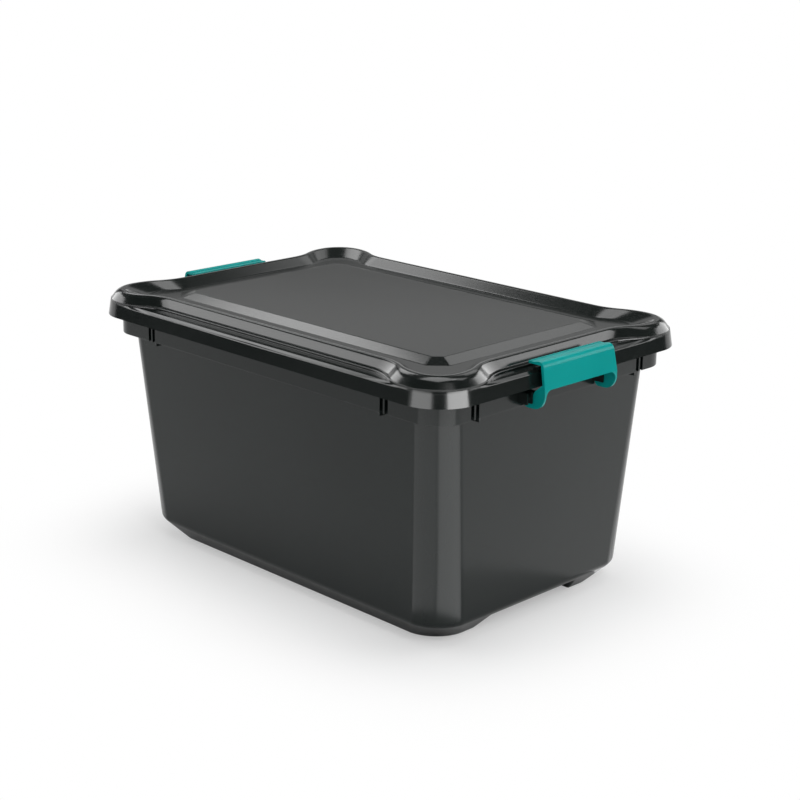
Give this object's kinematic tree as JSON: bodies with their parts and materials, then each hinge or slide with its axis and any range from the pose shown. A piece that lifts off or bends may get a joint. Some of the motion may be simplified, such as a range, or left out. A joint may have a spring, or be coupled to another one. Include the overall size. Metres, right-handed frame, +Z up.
{
  "type": "storage box with lid and clip handles",
  "caption": "Large dark-grey plastic storage box with a tapered tub, a flanged lid with flared corners, and a teal clip handle on each end.",
  "frame": {"origin": "on the floor under the middle of the box", "axes": "+X along the length towards one clip, +Y along the width, +Z up"},
  "size_m": [0.5996, 0.4048, 0.3112],
  "materials": {
    "tub_plastic": "satin",
    "lid_plastic": "satin",
    "clip_plastic": "satin"
  },
  "bodies": {
    "tub": {"tub": "tub_plastic"},
    "lid": {"lid": "lid_plastic"},
    "clip_right": {"clip_right": "clip_plastic"},
    "clip_left": {"clip_left": "clip_plastic"}
  },
  "joints": [
    {"name": "lid_lift", "type": "slide", "parent": "tub", "child": "lid", "axis": [0, 0, 1], "range_m": [0, 0.015]},
    {"name": "clip_right_swing", "type": "hinge", "parent": "tub", "child": "clip_right", "pos_m": [0.2805, 0, 0.2698], "axis": [0, 1, 0], "range_deg": [0, 110]},
    {"name": "clip_left_swing", "type": "hinge", "parent": "tub", "child": "clip_left", "pos_m": [-0.2805, 0, 0.2698], "axis": [0, -1, 0], "range_deg": [0, 110]}
  ],
  "couplings": [
    {"joint": "clip_right_swing", "follows": "lid_lift", "rad_per_m": 127.99},
    {"joint": "clip_left_swing", "follows": "lid_lift", "rad_per_m": 127.99}
  ]
}
